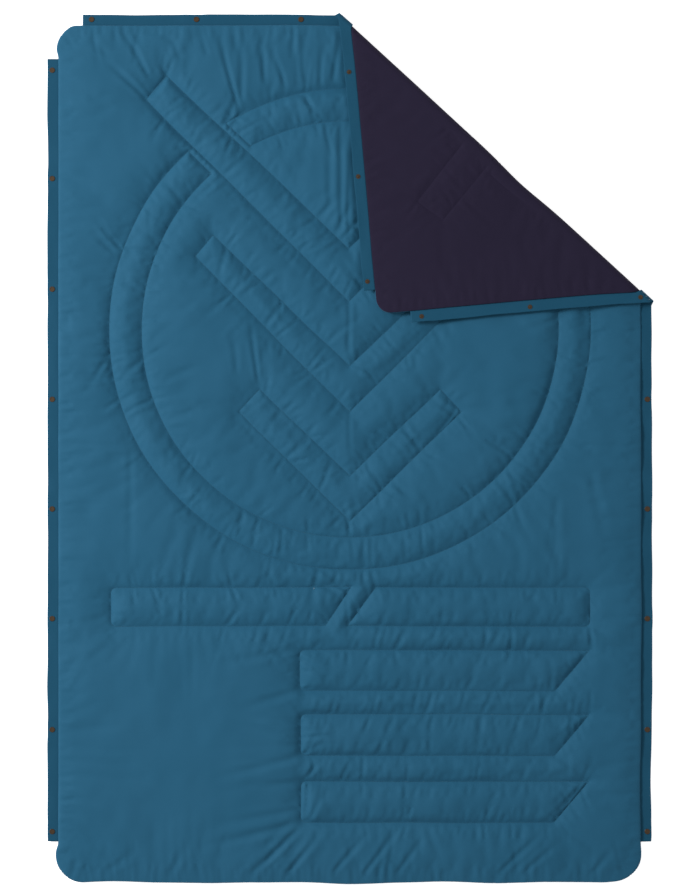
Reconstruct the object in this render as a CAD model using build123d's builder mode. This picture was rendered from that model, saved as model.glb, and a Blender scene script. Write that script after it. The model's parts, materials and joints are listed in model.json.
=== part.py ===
"""Camp blanket with press-snap flaps and one corner folded over.

Millimetres, +Z up, +Y towards the top edge. The blanket lies face up on the ground plane Z = 0. The folded
corner is drawn in the same flat layout as the rest of the blanket, on a frame that is turned half a turn
about the fold line.
"""

import os
from math import atan2, cos, degrees, hypot, radians, sin, sqrt

from build123d import *

os.makedirs("parts", exist_ok=True)

# ---------------------------------------------------------------- driving dimensions
overall_width = 1400.0  # X, outer edge to outer edge of the side flaps
overall_length = 2001.0  # Y, bottom edge to the top flap's outer edge
flap_width = 27.0  # seam to outer edge
panel_half_width = overall_width / 2 - flap_width
panel_bottom = -overall_length / 2
panel_top = overall_length / 2 - flap_width
panel_corner_radius = 58.0
folded_corner_radius = 32.0  # the top right corner, which is folded over

layer_thickness = 15.0  # one layer of the quilt: lining, insulation and face
cloth = 0.6  # shell cloth drawn with its seam allowance
layer_gap = 1.2  # air between the blanket and the corner lying on it
edge_clearance = 0.1  # insulation to the inside of the shell

fold_angle = -42.5  # direction of the fold line, degrees from +X
fold_offset = 721.0  # distance of the fold line from the origin
fold_clearance = 0.2  # each side of the fold line
beyond = 4000.0  # further than any edge of the blanket

flap_bottom = 5.0  # underside of the flaps above the ground
flap_cloth = 0.45
tape_thickness = 0.5
tape_width = 20.0
flap_thickness = 2 * flap_cloth + tape_thickness
open_side = 1.0  # how far the space inside a flap runs past its seam, so that the flap is open there
side_flap_top = 898.0
side_flap_bottom = -914.0
top_flap_half = 619.0
left_flap_gap = 0.4  # running clearance at the left flap's seam

snap_inset = 11.0  # snap centre to the flap's outer edge
side_snap_rows = [872.0, 621.0, 365.0, 110.0, -144.0, -398.0, -655.0, -891.0]
corner_side_rows = 3  # of the side rows, how many are on the folded corner
top_snap_columns = [113.0, 355.0, 598.0]
cap_radius = 6.3
cap_height = 1.4
cap_dish_radius = 4.3
cap_dish_depth = 0.4
cap_bevel = 0.5
post_radius = 1.6
post_hole_radius = 1.7
socket_radius = 5.2
socket_height = 3.0
socket_bore_radius = 2.05
socket_bore_depth = 2.2
socket_bevel = 0.5
spring_groove_radius = 2.9
spring_groove_height = 0.8
spring_wire = 0.5
spring_clearance = 0.1  # the open spring to the groove's outer wall
stud_flange_radius = 5.2
stud_flange_height = 0.8
stud_radius = 2.0
stud_length = 2.0
stud_tip = 0.4  # bevel at the stud's end
bevel_angle = 45.0

thread_width = 0.9
thread_height = 0.4
ring_centre_y = 272.0
ring_outer_radius = 558.0
ring_inner_radius = 483.0
ring_channel = 15.0  # between a ring's end and the chevron arm that crosses it
# each chevron: top apex Y, bottom apex Y, end of the upper line, end of the lower line (left arm mirrored)
chevrons = [
    (459.5, 337.0, (425.0, 860.0), (473.0, 804.0)),
    (187.0, 80.0, (316.0, 492.0), (358.0, 443.0)),
    (-68.0, -173.0, (209.0, 133.0), (258.0, 80.0)),
]
bar_corner_radius = 12.0  # at the square ends of the bars
bar_left = -554.0
bar_right = 555.0
bar_tops_and_bottoms = [(-327.0, -417.0), (-473.0, -566.0), (-620.0, -715.0), (-775.0, -870.0)]
bar_gap_top = (4.0, 61.0)  # X of the slanted gap in the first bar, at its top
bar_gap_bottom = (-56.0, -5.0)
short_bar_left = -115.0
short_bar_right_top = 553.0
short_bar_right_bottom = 474.0

# ---------------------------------------------------------------- frames
fold_height = layer_thickness + layer_gap / 2
fold_normal = (-sin(radians(fold_angle)), cos(radians(fold_angle)))
fold_point = (fold_offset * fold_normal[0], fold_offset * fold_normal[1])
flat_frame = Plane.XY
corner_frame = Plane(
    origin=(2 * fold_point[0], 2 * fold_point[1], 2 * fold_height),
    x_dir=(cos(radians(2 * fold_angle)), sin(radians(2 * fold_angle)), 0),
    z_dir=(0, 0, -1),
)
MAIN = 1
CORNER = -1
BOTH = 0


# ---------------------------------------------------------------- shapes used more than once
def cut_at_fold(side):
    """Takes away what lies beyond the fold line from the sketch in progress, as seen from one side of it."""
    if side == BOTH:
        return
    middle = fold_offset + side * (beyond / 2 - fold_clearance)
    place = (middle * fold_normal[0], middle * fold_normal[1], 0)
    with Locations(Location(place, (0, 0, fold_angle))):
        Rectangle(2 * beyond, beyond, mode=Mode.SUBTRACT)


def panel_outline(inset):
    """The rounded rectangle of the padded panel, drawn in by an inset."""
    width = 2 * (panel_half_width - inset)
    height = panel_top - panel_bottom - 2 * inset
    with Locations((0, (panel_top + panel_bottom) / 2)):
        RectangleRounded(width, height, panel_corner_radius - inset)
    filled = 2 * (panel_corner_radius - inset)
    with Locations((panel_half_width - panel_corner_radius, panel_top - panel_corner_radius)):
        RectangleRounded(filled, filled, folded_corner_radius - inset)


def panel_layer(frame, side, low, high, inset, mode=Mode.ADD):
    """One flat layer of the panel between two heights, on one side of the fold line."""
    with BuildSketch(frame.offset(low)) as layer:
        panel_outline(inset)
        cut_at_fold(side)
    extrude(layer.sketch, amount=high - low, mode=mode)


def shell(frame, side):
    """The face cloth: the top of the panel and its edges down to the seam with the lining."""
    panel_layer(frame, side, cloth, layer_thickness, 0)
    with BuildSketch(frame.offset(cloth)) as hollow:
        panel_outline(cloth)
    extrude(hollow.sketch, amount=layer_thickness - 2 * cloth, mode=Mode.SUBTRACT)


def side_strip(sign, inner, outer, frame, side, low, high, mode=Mode.ADD):
    """A strip along a side edge, between two distances from the middle of the blanket."""
    with BuildSketch(frame.offset(low)) as strip:
        with Locations((sign * (inner + outer) / 2, (side_flap_top + side_flap_bottom) / 2)):
            Rectangle(outer - inner, side_flap_top - side_flap_bottom)
        cut_at_fold(side)
    extrude(strip.sketch, amount=high - low, mode=mode)


def top_strip(inner, outer, frame, side, low, high, mode=Mode.ADD):
    """A strip along the top edge, between two distances from the middle of the blanket."""
    with BuildSketch(frame.offset(low)) as strip:
        with Locations((0, (inner + outer) / 2)):
            Rectangle(2 * top_flap_half, outer - inner)
        cut_at_fold(side)
    extrude(strip.sketch, amount=high - low, mode=mode)


def drill(frame, places, radius, low, high):
    """A round hole at each place, between two heights."""
    with BuildSketch(frame.offset(low)) as holes:
        with Locations(*places):
            Circle(radius)
    extrude(holes.sketch, amount=high - low, mode=Mode.SUBTRACT)


def discs(frame, places, radius, low, high):
    """A round disc at each place, between two heights."""
    with BuildSketch(frame.offset(low)) as rounds:
        with Locations(*places):
            Circle(radius)
    extrude(rounds.sketch, amount=high - low)


def bevelled_discs(frame, places, radius, low, high, bevel):
    """A round disc at each place from one height to another, above or below it, bevelled at the far face."""
    direction = 1 if high > low else -1
    shoulder = high - direction * bevel
    discs(frame, places, radius, low, shoulder)
    with BuildSketch(frame.offset(shoulder)) as rounds:
        with Locations(*places):
            Circle(radius)
    extrude(rounds.sketch, amount=direction * bevel, taper=bevel_angle)


def snap_caps(frame, places):
    """Dished caps on the face side, each with the hollow post that holds its snap to the flap."""
    top = flap_bottom + flap_thickness
    bevelled_discs(frame, places, cap_radius, top, top + cap_height, cap_bevel)
    drill(frame, places, cap_dish_radius, top + cap_height - cap_dish_depth, top + cap_height)
    discs(frame, places, post_radius, flap_bottom - stud_flange_height, top)


def snap_sockets(frame, places):
    """Female halves on the lining side, open towards the ground."""
    low = flap_bottom - socket_height
    bevelled_discs(frame, places, socket_radius, flap_bottom, low, socket_bevel)
    drill(frame, places, socket_bore_radius, low, low + socket_bore_depth)
    drill(frame, places, post_hole_radius, flap_bottom - stud_flange_height, flap_bottom)
    groove = low + (socket_bore_depth - spring_groove_height) / 2
    drill(frame, places, spring_groove_radius, groove, groove + spring_groove_height)


def snap_springs(frame, places):
    """The wire ring in each socket that grips the stud."""
    middle = flap_bottom - socket_height + socket_bore_depth / 2
    inner = spring_groove_radius - spring_clearance - spring_wire
    discs(frame, places, inner + spring_wire, middle - spring_wire / 2, middle + spring_wire / 2)
    drill(frame, places, inner, middle - spring_wire, middle + spring_wire)


def snap_studs(frame, places):
    """Male halves on the lining side, pointing at the ground."""
    low = flap_bottom - stud_flange_height
    discs(frame, places, stud_flange_radius, low, flap_bottom)
    drill(frame, places, post_hole_radius, low, flap_bottom)
    bevelled_discs(frame, places, stud_radius, low, low - stud_length, stud_tip)


def trace_line(*points):
    """One straight run of quilting thread."""
    with BuildLine():
        path = Polyline(*points)
    trace(path, line_width=thread_width)


def trace_bar(top_end, top_corner, bottom_corner, bottom_end):
    """The closed outline of a bar, rounded at its two square corners."""
    side = 1 if top_end[0] > top_corner[0] else -1
    top, bottom = top_corner[1], bottom_corner[1]
    x, radius = top_corner[0], bar_corner_radius
    with BuildLine() as outline:
        Line(top_end, (x + side * radius, top))
        RadiusArc((x + side * radius, top), (x, top - radius), side * radius)
        Line((x, top - radius), (x, bottom + radius))
        RadiusArc((x, bottom + radius), (x + side * radius, bottom), side * radius)
        Line((x + side * radius, bottom), bottom_end)
        Line(bottom_end, top_end)
    trace(outline.line, line_width=thread_width)


def mirrored(points):
    """The same points on the other side of the blanket's centre line."""
    return [(-x, y) for x, y in points]


def stand_off(a, b, distance):
    """The line through a and b, moved sideways by a distance: its point and its direction."""
    length = hypot(b[0] - a[0], b[1] - a[1])
    along = ((b[0] - a[0]) / length, (b[1] - a[1]) / length)
    return (a[0] - along[1] * distance, a[1] + along[0] * distance), along


def on_ring(line, radius):
    """Where a line leaves the ring's circle of a radius, on its way outwards."""
    (x, y), (u, v) = line
    y = y - ring_centre_y
    middle = x * u + y * v
    reach = -middle + sqrt(middle * middle - x * x - y * y + radius * radius)
    return x + u * reach, y + v * reach + ring_centre_y


def ring_angle(point):
    """Direction of a point from the ring's centre, in degrees."""
    return degrees(atan2(point[1] - ring_centre_y, point[0]))


def ring_lines():
    """The ring's two circles, stopped either side of the first chevron's arms, and its four slanted ends."""
    top_apex, bottom_apex, upper_end, lower_end = chevrons[0]
    above = stand_off((0, top_apex), upper_end, ring_channel)
    below = stand_off((0, bottom_apex), lower_end, -ring_channel)
    for radius in (ring_inner_radius, ring_outer_radius):
        high = ring_angle(on_ring(above, radius))
        low = ring_angle(on_ring(below, radius))
        with BuildLine():
            crown = CenterArc((0, ring_centre_y), radius, high, 180 - 2 * high)
        trace(crown, line_width=thread_width)
        with BuildLine():
            bowl = CenterArc((0, ring_centre_y), radius, 180 - low, 180 + 2 * low)
        trace(bowl, line_width=thread_width)
    for line in (above, below):
        end = [on_ring(line, ring_inner_radius), on_ring(line, ring_outer_radius)]
        trace_line(*end)
        trace_line(*mirrored(end))


def chevron_lines():
    """The outline of each chevron."""
    for top_apex, bottom_apex, upper_end, lower_end in chevrons:
        right = [(0, bottom_apex), lower_end, upper_end, (0, top_apex)]
        trace_line(*right)
        trace_line(*mirrored(right))


def bar_lines():
    """The outlines of the long bar's two halves and of the three short bars."""
    (top, bottom), *short = bar_tops_and_bottoms
    trace_bar((bar_gap_top[0], top), (bar_left, top), (bar_left, bottom), (bar_gap_bottom[0], bottom))
    trace_bar((bar_gap_top[1], top), (bar_right, top), (bar_right, bottom), (bar_gap_bottom[1], bottom))
    for top, bottom in short:
        slant = (short_bar_right_top, top), (short_bar_right_bottom, bottom)
        trace_bar(slant[0], (short_bar_left, top), (short_bar_left, bottom), slant[1])


def quilting(frame, side, lines):
    """Thread laid along quilting lines on the face, on one side of the fold line."""
    with BuildSketch(frame.offset(layer_thickness)) as threads:
        lines()
        cut_at_fold(side)
    extrude(threads.sketch, amount=thread_height)


# ---------------------------------------------------------------- where the snaps are
snap_x = overall_width / 2 - snap_inset
snap_y = overall_length / 2 - snap_inset
left_snaps = [(-snap_x, row) for row in side_snap_rows]
right_snaps = [(snap_x, row) for row in side_snap_rows[corner_side_rows:]]
corner_right_snaps = [(snap_x, row) for row in side_snap_rows[:corner_side_rows]]
top_snaps = [(-column, snap_y) for column in top_snap_columns]
corner_top_snaps = [(column, snap_y) for column in top_snap_columns]

flap_outer = overall_width / 2
flap_top_outer = overall_length / 2
tape_low = flap_bottom + flap_cloth
tape_high = tape_low + tape_thickness
flap_high = flap_bottom + flap_thickness


def side_flap_cloth(sign, frame, side, root, snaps):
    """A strip of face cloth doubled over along its outer edge, with a hole for each snap's post."""
    side_strip(sign, root, flap_outer, frame, side, flap_bottom, flap_high)
    inner, outer = root - open_side, flap_outer - flap_cloth
    side_strip(sign, inner, outer, frame, BOTH, tape_low, tape_high, mode=Mode.SUBTRACT)
    drill(frame, snaps, post_hole_radius, flap_bottom, flap_high)


def side_flap_tape(sign, frame, side, snaps):
    """The stiffening tape inside a side flap."""
    outer = flap_outer - flap_cloth - edge_clearance
    side_strip(sign, outer - tape_width, outer, frame, side, tape_low, tape_high)
    drill(frame, snaps, post_hole_radius, tape_low, tape_high)


def top_flap_cloth_shape(frame, side, snaps):
    """The doubled strip of face cloth along the top edge, with a hole for each snap's post."""
    top_strip(panel_top, flap_top_outer, frame, side, flap_bottom, flap_high)
    inner, outer = panel_top - open_side, flap_top_outer - flap_cloth
    top_strip(inner, outer, frame, BOTH, tape_low, tape_high, mode=Mode.SUBTRACT)
    drill(frame, snaps, post_hole_radius, flap_bottom, flap_high)


def top_flap_tape_shape(frame, side, snaps):
    """The stiffening tape inside the top flap."""
    outer = flap_top_outer - flap_cloth - edge_clearance
    top_strip(outer - tape_width, outer, frame, side, tape_low, tape_high)
    drill(frame, snaps, post_hole_radius, tape_low, tape_high)


# ---------------------------------------------------------------- body "blanket"
with BuildPart() as lining:
    panel_layer(flat_frame, MAIN, 0, cloth, 0)

with BuildPart() as insulation:
    panel_layer(flat_frame, MAIN, cloth, layer_thickness - cloth, cloth + edge_clearance)

with BuildPart() as face_shell:
    shell(flat_frame, MAIN)

with BuildPart() as ring_quilting:
    quilting(flat_frame, MAIN, ring_lines)

with BuildPart() as chevron_quilting:
    quilting(flat_frame, MAIN, chevron_lines)

with BuildPart() as bar_quilting:
    quilting(flat_frame, MAIN, bar_lines)

with BuildPart() as right_flap:
    side_flap_cloth(1, flat_frame, MAIN, panel_half_width, right_snaps)

with BuildPart() as right_flap_tape:
    side_flap_tape(1, flat_frame, MAIN, right_snaps)

with BuildPart() as right_snap_caps:
    snap_caps(flat_frame, right_snaps)

with BuildPart() as right_snap_studs:
    snap_studs(flat_frame, right_snaps)

with BuildPart() as top_flap:
    top_flap_cloth_shape(flat_frame, MAIN, top_snaps)

with BuildPart() as top_flap_tape:
    top_flap_tape_shape(flat_frame, MAIN, top_snaps)

with BuildPart() as top_snap_caps:
    snap_caps(flat_frame, top_snaps)

with BuildPart() as top_snap_sockets:
    snap_sockets(flat_frame, top_snaps)

with BuildPart() as top_snap_springs:
    snap_springs(flat_frame, top_snaps)

# ---------------------------------------------------------------- body "left_flap"
with BuildPart() as left_flap:
    side_flap_cloth(-1, flat_frame, BOTH, panel_half_width + left_flap_gap, left_snaps)

with BuildPart() as left_flap_tape:
    side_flap_tape(-1, flat_frame, BOTH, left_snaps)

with BuildPart() as left_snap_caps:
    snap_caps(flat_frame, left_snaps)

with BuildPart() as left_snap_sockets:
    snap_sockets(flat_frame, left_snaps)

with BuildPart() as left_snap_springs:
    snap_springs(flat_frame, left_snaps)

# ---------------------------------------------------------------- body "corner"
with BuildPart() as corner_lining:
    panel_layer(corner_frame, CORNER, 0, cloth, 0)

with BuildPart() as corner_insulation:
    panel_layer(corner_frame, CORNER, cloth, layer_thickness - cloth, cloth + edge_clearance)

with BuildPart() as corner_face_shell:
    shell(corner_frame, CORNER)

with BuildPart() as corner_ring_quilting:
    quilting(corner_frame, CORNER, ring_lines)

with BuildPart() as corner_chevron_quilting:
    quilting(corner_frame, CORNER, chevron_lines)

with BuildPart() as corner_right_flap:
    side_flap_cloth(1, corner_frame, CORNER, panel_half_width, corner_right_snaps)

with BuildPart() as corner_right_flap_tape:
    side_flap_tape(1, corner_frame, CORNER, corner_right_snaps)

with BuildPart() as corner_right_snap_caps:
    snap_caps(corner_frame, corner_right_snaps)

with BuildPart() as corner_right_snap_studs:
    snap_studs(corner_frame, corner_right_snaps)

with BuildPart() as corner_top_flap:
    top_flap_cloth_shape(corner_frame, CORNER, corner_top_snaps)

with BuildPart() as corner_top_flap_tape:
    top_flap_tape_shape(corner_frame, CORNER, corner_top_snaps)

with BuildPart() as corner_top_snap_caps:
    snap_caps(corner_frame, corner_top_snaps)

with BuildPart() as corner_top_snap_studs:
    snap_studs(corner_frame, corner_top_snaps)

# ---------------------------------------------------------------- export
pieces = {
    "lining": lining,
    "insulation": insulation,
    "face_shell": face_shell,
    "ring_quilting": ring_quilting,
    "chevron_quilting": chevron_quilting,
    "bar_quilting": bar_quilting,
    "right_flap": right_flap,
    "right_flap_tape": right_flap_tape,
    "right_snap_caps": right_snap_caps,
    "right_snap_studs": right_snap_studs,
    "top_flap": top_flap,
    "top_flap_tape": top_flap_tape,
    "top_snap_caps": top_snap_caps,
    "top_snap_sockets": top_snap_sockets,
    "top_snap_springs": top_snap_springs,
    "left_flap": left_flap,
    "left_flap_tape": left_flap_tape,
    "left_snap_caps": left_snap_caps,
    "left_snap_sockets": left_snap_sockets,
    "left_snap_springs": left_snap_springs,
    "corner_lining": corner_lining,
    "corner_insulation": corner_insulation,
    "corner_face_shell": corner_face_shell,
    "corner_ring_quilting": corner_ring_quilting,
    "corner_chevron_quilting": corner_chevron_quilting,
    "corner_right_flap": corner_right_flap,
    "corner_right_flap_tape": corner_right_flap_tape,
    "corner_right_snap_caps": corner_right_snap_caps,
    "corner_right_snap_studs": corner_right_snap_studs,
    "corner_top_flap": corner_top_flap,
    "corner_top_flap_tape": corner_top_flap_tape,
    "corner_top_snap_caps": corner_top_snap_caps,
    "corner_top_snap_studs": corner_top_snap_studs,
}
for name, piece in pieces.items():
    piece.part.label = name
    export_step(piece.part, f"parts/{name}.step")
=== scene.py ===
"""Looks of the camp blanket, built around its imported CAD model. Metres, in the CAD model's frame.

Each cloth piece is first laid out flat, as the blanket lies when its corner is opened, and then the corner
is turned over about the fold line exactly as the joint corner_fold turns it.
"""

import json
from math import atan2, cos, hypot, pi, sin, sqrt

import bpy
import numpy as np
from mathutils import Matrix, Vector, geometry


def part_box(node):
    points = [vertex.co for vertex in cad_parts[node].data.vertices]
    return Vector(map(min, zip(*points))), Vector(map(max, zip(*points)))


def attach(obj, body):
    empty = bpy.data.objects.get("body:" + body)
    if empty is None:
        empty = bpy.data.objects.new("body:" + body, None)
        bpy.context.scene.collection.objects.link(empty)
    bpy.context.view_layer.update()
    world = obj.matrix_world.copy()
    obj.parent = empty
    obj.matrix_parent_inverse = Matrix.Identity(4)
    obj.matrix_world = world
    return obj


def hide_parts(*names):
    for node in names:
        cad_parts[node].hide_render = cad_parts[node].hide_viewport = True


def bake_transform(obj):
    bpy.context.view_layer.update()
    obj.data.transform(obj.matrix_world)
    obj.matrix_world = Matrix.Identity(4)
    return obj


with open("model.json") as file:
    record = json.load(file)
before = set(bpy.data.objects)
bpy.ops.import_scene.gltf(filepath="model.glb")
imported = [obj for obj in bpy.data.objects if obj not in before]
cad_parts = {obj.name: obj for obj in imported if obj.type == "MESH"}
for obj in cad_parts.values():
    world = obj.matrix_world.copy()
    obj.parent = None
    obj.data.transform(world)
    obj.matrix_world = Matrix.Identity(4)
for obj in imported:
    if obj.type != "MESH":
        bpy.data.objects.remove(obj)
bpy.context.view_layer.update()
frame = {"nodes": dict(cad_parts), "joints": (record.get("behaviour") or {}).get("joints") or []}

MM = 0.001


def add_object(name, data):
    """An object linked to the scene."""
    made = bpy.data.objects.new(name, data)
    bpy.context.scene.collection.objects.link(made)
    return made



# -------- sizes read from the frame
panel_low, panel_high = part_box("lining")
left_flap_low, left_flap_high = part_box("left_flap")
top_flap_low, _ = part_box("top_flap")
fold_joint = next(j for j in frame["joints"] if j["name"] == "corner_fold")
fold_point = np.array(fold_joint["pos_m"][:2])
fold_height = fold_joint["pos_m"][2]
fold_along = np.array(fold_joint["axis"][:2])
fold_across = np.array([fold_along[1], -fold_along[0]])  # from the blanket towards the open corner

panel_centre = np.array([0.0, (panel_low[1] + panel_high[1]) / 2])
panel_half = np.array([panel_high[0], (panel_high[1] - panel_low[1]) / 2])
flap_outer = -left_flap_low[0]
flap_low, flap_high = left_flap_low[2], left_flap_high[2]
flap_middle = (flap_low + flap_high) / 2

# -------- quilting, as in the CAD model
panel_corner_radius = 58 * MM
folded_corner_radius = 32 * MM
ring_centre = np.array([0, 272 * MM])
ring_radii = (483 * MM, 558 * MM)
ring_channel = 15 * MM
# each chevron: top apex Y, bottom apex Y, end of the upper line, end of the lower line (left arm mirrored)
chevrons = [
    (459.5 * MM, 337 * MM, (425 * MM, 860 * MM), (473 * MM, 804 * MM)),
    (187 * MM, 80 * MM, (316 * MM, 492 * MM), (358 * MM, 443 * MM)),
    (-68 * MM, -173 * MM, (209 * MM, 133 * MM), (258 * MM, 80 * MM)),
]
bar_left, bar_right = -554 * MM, 555 * MM
long_bar = (-327 * MM, -417 * MM)
short_bars = [(-473 * MM, -566 * MM), (-620 * MM, -715 * MM), (-775 * MM, -870 * MM)]
bar_gap_top = (4 * MM, 61 * MM)
bar_gap_bottom = (-56 * MM, -5 * MM)
short_bar_left = -115 * MM
bar_corner_radius = 12 * MM
short_bar_right = (553 * MM, 474 * MM)

# -------- how the quilt is filled
seam_height = 4.2 * MM  # a line of quilting, pulled down on the ground
groove_rise, groove_width = 2.4 * MM, 3.6 * MM  # steep part beside a line of quilting
puff_rise, puff_width = 9.6 * MM, 31 * MM  # slow swelling away from it
deepest_wrinkle = 4.5 * MM
pressed_height = 14.4 * MM  # under the folded corner, and the corner itself
edge_roll = 13 * MM  # width of the rounded edge inside the seam
panel_nose, flap_nose = 0.1, 0.55  # how far the fold stands out, as a share of its radius
inner_fold_height = 13.2 * MM  # of the face, on the strip that turns over
flap_bend = 5 * MM  # on each side of the fold line, the cloth of a flap that turns over
inner_bend = 8 * MM  # on each side of the fold line, what the inner cloth needs to turn over
dent_place = 120 * MM  # along the fold line from its middle, where the folded edge is drawn in most
edge_overhang = 1.5 * MM  # how far the padded edge stands out over the flaps
free_overhang = 5.5 * MM  # how much further where no flap is sewn to it
widest_share, widest_lift = 0.3, 0.62  # where on the rounded edge it is widest, along it and up it
cloth_grid = 11 * MM  # of the simulated cloth
cloth_excess = 0.02  # how much larger it is than the room between the seams
last_cloth_frame = 20
crease_share = 0.7  # of the simulated creases, how much is kept
crease_cap, crease_depth = 1.8 * MM, 1.0 * MM  # how far the simulation may lift or lower a place
lining_seam_height = 3.4 * MM  # the lining's height under a line of quilting
seam_clearance = 0.35 * MM  # between the panel's cloth and a flap
edge_fullness = 22 * MM  # the padding at the outline is as full as this far from a line of quilting
turning_half, turning_border = 40 * MM, 20 * MM  # of the strip that turns over, and of its soft border
fine_reach = 36 * MM  # on each side of a seam or an edge, the finest mesh
press_softness = 1.2 * MM  # how gradually the folded corner's weight takes hold
free_border = 25 * MM  # over which the edge comes free past the end of a flap

# -------- stitches and weave
stitch_pitch, thread_radius, thread_lift = 3.4 * MM, 0.3 * MM, 0.15 * MM
fold_margin = 30 * MM  # on each side of the fold line, without stitches
weave_scale = 900.0  # bands of the weave to a metre

# -------- small mathematics


def smooth(t):
    """0 below 0, 1 above 1, and a smooth step between."""
    t = np.clip(t, 0, 1)
    return t * t * (3 - 2 * t)


def noise(x, y, seed):
    """Smooth noise from -1 to 1, with features about one unit across."""
    size = 64
    lattice = np.random.default_rng(seed).uniform(-1, 1, (size, size))
    column, row = np.floor(x).astype(int), np.floor(y).astype(int)
    u, v = smooth(x - column), smooth(y - row)
    column, row = column % size, row % size
    right, up = (column + 1) % size, (row + 1) % size
    low = lattice[row, column] * (1 - u) + lattice[row, right] * u
    high = lattice[up, column] * (1 - u) + lattice[up, right] * u
    return low * (1 - v) + high * v


def noise_at(points, size, seed):
    """Smooth noise over the plane, with features about a size across."""
    return noise(points[:, 0] / size, points[:, 1] / size, seed)


def to_segment(points, a, b):
    """Distance of each point from the segment a to b."""
    a, b = np.array(a), np.array(b)
    along = b - a
    t = np.clip((points - a) @ along / (along @ along), 0, 1)
    return np.hypot(*(points - a - t[:, None] * along).T)


def to_arc(points, centre, radius, start, end):
    """Distance of each point from a stretch of a circle, angles in radians."""
    offset = points - centre
    angle = (np.arctan2(offset[:, 1], offset[:, 0]) - start) % (2 * pi)
    inside = angle <= end - start
    ends = [centre + radius * np.array([cos(a), sin(a)]) for a in (start, end)]
    to_ends = np.minimum(*[np.hypot(*(points - e).T) for e in ends])
    return np.where(inside, np.abs(np.hypot(*offset.T) - radius), to_ends)


def across_fold(points):
    """Signed distance from the fold line, positive on the side of the open corner."""
    return (points - fold_point) @ fold_across


def reflected(points):
    """Points of the blanket's plane on the other side of the fold line."""
    return points - 2 * across_fold(points)[:, None] * fold_across


# -------- lines of quilting


def offset_line(a, b, distance):
    """Start point and direction of the line through a and b, moved sideways to its left."""
    along = np.subtract(b, a) / hypot(b[0] - a[0], b[1] - a[1])
    return np.array(a) + distance * np.array([-along[1], along[0]]), along


def meets_ring(line, radius):
    """Where a line leaves the circle of a radius about the ring's centre, on its way outwards."""
    start, along = line
    start = start - ring_centre
    middle = start @ along
    reach = -middle + sqrt(middle**2 - start @ start + radius**2)
    return start + along * reach + ring_centre


def mirror(points):
    return [(-x, y) for x, y in points]


def ring_seams():
    """The ring's two circles, parted where the first chevron's arms cross, and each part's closed ends."""
    top_apex, bottom_apex, upper_end, lower_end = chevrons[0]
    above = offset_line((0, top_apex), upper_end, ring_channel)
    below = offset_line((0, bottom_apex), lower_end, -ring_channel)
    seams = []
    for radius in ring_radii:
        high, low = (
            atan2(*(meets_ring(line, radius) - ring_centre)[::-1]) for line in (above, below)
        )
        seams.append(("arc", ring_centre, radius, high, pi - high))
        seams.append(("arc", ring_centre, radius, pi - low, 2 * pi + low))
    for line in (above, below):
        end = [tuple(meets_ring(line, radius)) for radius in ring_radii]
        seams.append(("line", *end))
        seams.append(("line", *mirror(end)))
    return seams


def outline_seams(points):
    """Straight seams from each point to the next."""
    return [("line", a, b) for a, b in zip(points, points[1:])]


def chevron_seams():
    seams = []
    for top_apex, bottom_apex, upper_end, lower_end in chevrons:
        right = [(0, bottom_apex), lower_end, upper_end, (0, top_apex)]
        seams += outline_seams(right) + outline_seams(mirror(right))
    return seams


def bar_outline(top_end, top_corner, bottom_corner, bottom_end):
    """A bar's closed outline, rounded at its two square corners."""
    x, top = top_corner
    bottom = bottom_corner[1]
    side = 1 if top_end[0] > x else -1
    radius = bar_corner_radius
    start, low_start = (pi / 2, pi) if side > 0 else (0, -pi / 2)
    upper = np.array([x + side * radius, top - radius])
    lower = np.array([x + side * radius, bottom + radius])
    return [
        ("line", top_end, (x + side * radius, top)),
        ("arc", upper, radius, start, start + pi / 2),
        ("line", (x, top - radius), (x, bottom + radius)),
        ("arc", lower, radius, low_start, low_start + pi / 2),
        ("line", (x + side * radius, bottom), bottom_end),
        ("line", bottom_end, top_end),
    ]


def bar_seams():
    top, bottom = long_bar
    seams = []
    for end, k in ((bar_left, 0), (bar_right, 1)):
        seams += bar_outline((bar_gap_top[k], top), (end, top), (end, bottom), (bar_gap_bottom[k], bottom))
    for top, bottom in short_bars:
        square = (short_bar_left, top), (short_bar_left, bottom)
        seams += bar_outline((short_bar_right[0], top), *square, (short_bar_right[1], bottom))
    return seams


def seam_distance(points, seams):
    """Distance of each point from the nearest of several seams."""
    nearest = np.full(len(points), 1.0)
    for kind, *where in seams:
        found = to_arc(points, *where) if kind == "arc" else to_segment(points, *where)
        nearest = np.minimum(nearest, found)
    return nearest


def seam_points(seam, step):
    """Points along a seam, about a step apart."""
    kind, *where = seam
    if kind == "arc":
        centre, radius, start, end = where
        count = max(4, round(radius * (end - start) / step))
        angles = np.linspace(start, end, count + 1)
        return centre + radius * np.stack([np.cos(angles), np.sin(angles)], 1)
    a, b = np.array(where[0]), np.array(where[1])
    count = max(1, round(hypot(*(b - a)) / step))
    return a + np.linspace(0, 1, count + 1)[:, None] * (b - a)


ring = ring_seams()
chevron = chevron_seams()
bars = bar_seams()
quilting = ring + chevron + bars


# -------- flat layouts


def rounded_outline(inset, step):
    """The panel's outline, drawn in by an inset, as points about a step apart."""
    half = panel_half - inset
    points = []
    for turn, (right, up) in enumerate([(1, 1), (-1, 1), (-1, -1), (1, -1)]):
        radius = (panel_corner_radius if turn else folded_corner_radius) - inset
        centre = panel_centre + np.array([right, up]) * (half - radius)
        count = max(3, round(radius * pi / 2 / step))
        for angle in np.linspace(turn * pi / 2, (turn + 1) * pi / 2, count + 1):
            points.append(centre + radius * np.array([cos(angle), sin(angle)]))
    closed = np.array(points + points[:1])
    out = []
    for a, b in zip(closed, closed[1:]):
        count = max(1, round(hypot(*(b - a)) / step))
        out += [a + (b - a) * k / count for k in range(count)]
    return np.array(out)


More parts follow.
